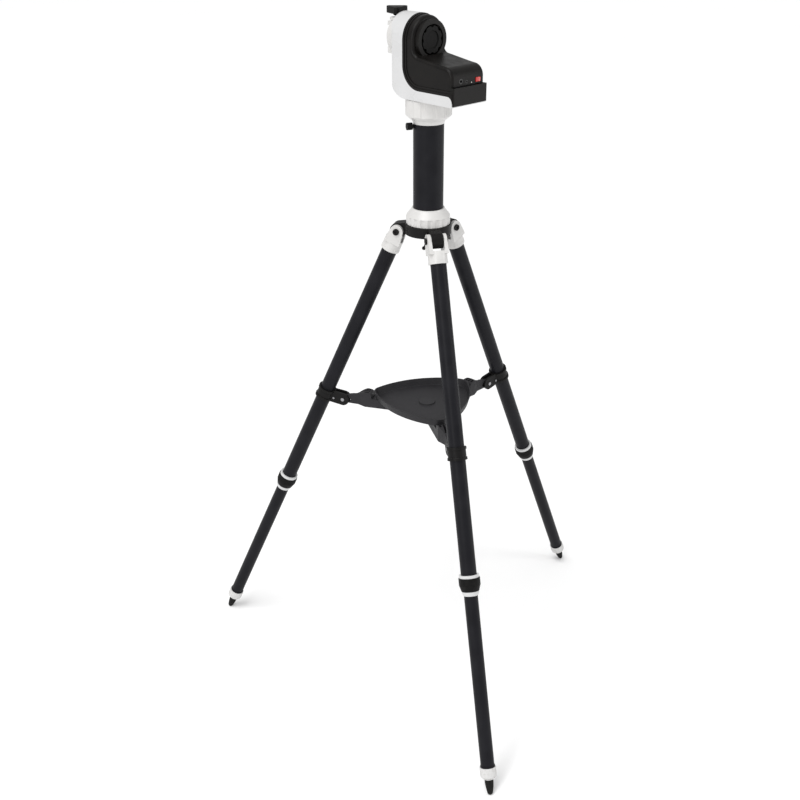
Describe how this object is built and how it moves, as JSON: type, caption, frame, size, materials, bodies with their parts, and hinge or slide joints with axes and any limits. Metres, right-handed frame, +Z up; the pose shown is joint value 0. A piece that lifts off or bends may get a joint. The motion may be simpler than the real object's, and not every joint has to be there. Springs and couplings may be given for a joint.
{
  "type": "star tracker mount",
  "caption": "Motorised single-arm tracking head with dovetail saddle on an extension pillar and a folding, telescoping tripod with an accessory tray.",
  "frame": {"origin": "on the ground, under the turning axis", "axes": "+Z up along the turning axis; the tilting axis is along X, with the saddle at -X and the clutch knob and panel at +X; one leg points to +Y, the other two to either side of -Y"},
  "size_m": [0.8892, 0.7752, 1.4391],
  "materials": {
    "black_tube": "black anodised, satin",
    "black_casting": "satin black paint on cast metal",
    "white_casting": "gloss white paint",
    "white_shell": "smooth white moulding",
    "black_shell": "satin black moulding",
    "black_grip": "fine-grained black plastic",
    "foot_white": "off-white nylon",
    "rubber_tip": "matte",
    "tray_plastic": "dark grey grained plastic",
    "steel": "plated steel",
    "gear_brass": "machined brass",
    "switch_red": "glossy red rocker",
    "cell_wrap": "printed sleeve, plain",
    "board_green": "solder mask"
  },
  "bodies": {
    "stand": {"tripod_head": "black_casting", "leg_bolts": "black_casting", "pillar_ring": "white_casting", "pillar": "black_tube", "turning_base": "white_casting", "turning_wheel": "gear_brass"},
    "centre_bolt": {"centre_bolt": "black_casting"},
    "pillar_lock_screw": {"pillar_lock_screw": "black_grip"},
    "turning_clutch_ring": {"turning_clutch_ring": "white_casting"},
    "leg_a": {"leg_fork_a": "white_casting", "upper_tube_a": "black_tube", "ferrule_a": "white_shell", "leg_bracket_a": "black_casting", "bracket_pins_a": "steel"},
    "twist_collar_a": {"twist_collar_a": "black_grip"},
    "lower_leg_a": {"lower_tube_a": "black_tube", "foot_cap_a": "foot_white", "foot_tip_a": "rubber_tip"},
    "leg_b": {"leg_fork_b": "white_casting", "upper_tube_b": "black_tube", "ferrule_b": "white_shell", "leg_bracket_b": "black_casting", "bracket_pins_b": "steel"},
    "twist_collar_b": {"twist_collar_b": "black_grip"},
    "lower_leg_b": {"lower_tube_b": "black_tube", "foot_cap_b": "foot_white", "foot_tip_b": "rubber_tip"},
    "leg_c": {"leg_fork_c": "white_casting", "upper_tube_c": "black_tube", "ferrule_c": "white_shell", "leg_bracket_c": "black_casting", "bracket_pins_c": "steel"},
    "twist_collar_c": {"twist_collar_c": "black_grip"},
    "lower_leg_c": {"lower_tube_c": "black_tube", "foot_cap_c": "foot_white", "foot_tip_c": "rubber_tip"},
    "spreader_hub": {"spreader_hub": "tray_plastic", "hub_pins": "steel", "accessory_tray": "tray_plastic"},
    "tray_screw": {"tray_screw": "black_grip"},
    "arm_a": {"spreader_arm_a": "tray_plastic"},
    "arm_b": {"spreader_arm_b": "tray_plastic"},
    "arm_c": {"spreader_arm_c": "tray_plastic"},
    "head": {"white_housing": "white_shell", "black_cover": "black_shell", "motors": "steel", "bearings": "steel", "circuit_board": "board_green", "cover_screws": "steel"},
    "turning_pinion": {"turning_pinion": "gear_brass"},
    "tilting_pinion": {"tilting_pinion": "gear_brass"},
    "battery_drawer": {"battery_drawer": "black_shell", "battery_cells": "cell_wrap"},
    "power_switch": {"power_switch": "switch_red"},
    "tilting_axis": {"tilting_shaft": "steel", "tilting_wheel": "gear_brass", "saddle": "white_casting"},
    "tilting_clutch_knob": {"tilting_clutch_knob": "black_grip"},
    "clamp_jaw": {"clamp_jaw": "white_casting"},
    "clamp_knob": {"clamp_knob": "black_grip"}
  },
  "joints": [
    {"name": "leg_a_fold", "type": "hinge", "parent": "stand", "child": "leg_a", "pos_m": [0.05309, -0.03065, 1.01529], "axis": [0.5, 0.866, 0], "range_deg": [0, 7.5]},
    {"name": "leg_a_extension", "type": "slide", "parent": "leg_a", "child": "lower_leg_a", "axis": [-0.3495, 0.2018, 0.915], "range_m": [0, 0.33]},
    {"name": "twist_collar_a_turn", "type": "hinge", "parent": "leg_a", "child": "twist_collar_a", "pos_m": [0.05309, -0.03065, 1.01529], "axis": [0.3495, -0.2018, -0.915], "range_deg": [0, 120]},
    {"name": "leg_b_fold", "type": "hinge", "parent": "stand", "child": "leg_b", "pos_m": [-0.05309, -0.03065, 1.01529], "axis": [0.5, -0.866, 0], "range_deg": [0, 7.5]},
    {"name": "leg_b_extension", "type": "slide", "parent": "leg_b", "child": "lower_leg_b", "axis": [0.3495, 0.2018, 0.915], "range_m": [0, 0.33]},
    {"name": "twist_collar_b_turn", "type": "hinge", "parent": "leg_b", "child": "twist_collar_b", "pos_m": [-0.05309, -0.03065, 1.01529], "axis": [-0.3495, -0.2018, -0.915], "range_deg": [0, 120]},
    {"name": "leg_c_fold", "type": "hinge", "parent": "stand", "child": "leg_c", "pos_m": [0, 0.0613, 1.01529], "axis": [-1, 0, 0], "range_deg": [0, 7.5]},
    {"name": "leg_c_extension", "type": "slide", "parent": "leg_c", "child": "lower_leg_c", "axis": [0, -0.4035, 0.915], "range_m": [0, 0.33]},
    {"name": "twist_collar_c_turn", "type": "hinge", "parent": "leg_c", "child": "twist_collar_c", "pos_m": [0, 0.0613, 1.01529], "axis": [0, 0.4035, -0.915], "range_deg": [0, 120]},
    {"name": "hub_slide", "type": "slide", "parent": "stand", "child": "spreader_hub", "axis": [0, 0, 1], "range_m": [0, 0.10424]},
    {"name": "arm_a_fold", "type": "hinge", "parent": "spreader_hub", "child": "arm_a", "pos_m": [0.01905, -0.011, 0.62047], "axis": [0.5, 0.866, 0], "range_deg": [0, 45.33]},
    {"name": "arm_b_fold", "type": "hinge", "parent": "spreader_hub", "child": "arm_b", "pos_m": [-0.01905, -0.011, 0.62047], "axis": [0.5, -0.866, 0], "range_deg": [0, 45.33]},
    {"name": "arm_c_fold", "type": "hinge", "parent": "spreader_hub", "child": "arm_c", "pos_m": [0, 0.022, 0.62047], "axis": [-1, 0, 0], "range_deg": [0, 45.33]},
    {"name": "tray_screw_turn", "type": "hinge", "parent": "spreader_hub", "child": "tray_screw", "pos_m": [0, 0, 0.62047], "axis": [0, 0, -1], "range_deg": [0, 720]},
    {"name": "centre_bolt_turn", "type": "hinge", "parent": "stand", "child": "centre_bolt", "pos_m": [0, 0, 1.01399], "axis": [0, 0, -1], "range_deg": [0, 720]},
    {"name": "pillar_lock_turn", "type": "hinge", "parent": "stand", "child": "pillar_lock_screw", "pos_m": [-0.01268, -0.02719, 1.22849], "axis": [-0.4226, -0.9063, 0], "range_deg": [0, 720]},
    {"name": "turning_clutch_turn", "type": "hinge", "parent": "stand", "child": "turning_clutch_ring", "pos_m": [0, 0, 1.24199], "axis": [0, 0, 1], "range_deg": [0, 90]},
    {"name": "turning", "type": "hinge", "parent": "stand", "child": "head", "pos_m": [0, 0, 1.28099], "axis": [0, 0, 1], "continuous": true},
    {"name": "turning_pinion_spin", "type": "hinge", "parent": "head", "child": "turning_pinion", "pos_m": [-0.0375, 0, 1.29799], "axis": [0, 0, 1], "continuous": true},
    {"name": "tilting", "type": "hinge", "parent": "head", "child": "tilting_axis", "pos_m": [0, 0, 1.38699], "axis": [1, 0, 0], "continuous": true},
    {"name": "tilting_pinion_spin", "type": "hinge", "parent": "head", "child": "tilting_pinion", "pos_m": [-0.048, 0.02652, 1.36048], "axis": [1, 0, 0], "continuous": true},
    {"name": "tilting_clutch_turn", "type": "hinge", "parent": "tilting_axis", "child": "tilting_clutch_knob", "pos_m": [0, 0, 1.38699], "axis": [1, 0, 0], "range_deg": [0, 180]},
    {"name": "clamp_jaw_slide", "type": "slide", "parent": "tilting_axis", "child": "clamp_jaw", "axis": [0, 0, -1], "range_m": [0, 0.0031]},
    {"name": "clamp_knob_turn", "type": "hinge", "parent": "tilting_axis", "child": "clamp_knob", "pos_m": [-0.087, 0, 1.38699], "axis": [0, 0, -1], "range_deg": [0, 1080]},
    {"name": "battery_drawer_slide", "type": "slide", "parent": "head", "child": "battery_drawer", "axis": [1, 0, 0], "range_m": [0, 0.055]},
    {"name": "power_switch_rock", "type": "hinge", "parent": "head", "child": "power_switch", "pos_m": [0.097, 0.0253, 1.32399], "axis": [0, 0, 1], "range_deg": [-6, 6]}
  ],
  "couplings": [
    {"joint": "leg_b_fold", "follows": "leg_a_fold", "ratio": 1},
    {"joint": "leg_c_fold", "follows": "leg_a_fold", "ratio": 1},
    {"joint": "hub_slide", "follows": "leg_a_fold", "m_per_rad": 0.79629},
    {"joint": "arm_a_fold", "follows": "leg_a_fold", "ratio": 6.0439},
    {"joint": "arm_b_fold", "follows": "leg_a_fold", "ratio": 6.0439},
    {"joint": "arm_c_fold", "follows": "leg_a_fold", "ratio": 6.0439},
    {"joint": "turning_pinion_spin", "follows": "turning", "ratio": 4},
    {"joint": "tilting_pinion_spin", "follows": "tilting", "ratio": -4},
    {"joint": "clamp_jaw_slide", "follows": "clamp_knob_turn", "m_per_rad": 0.00015915}
  ]
}
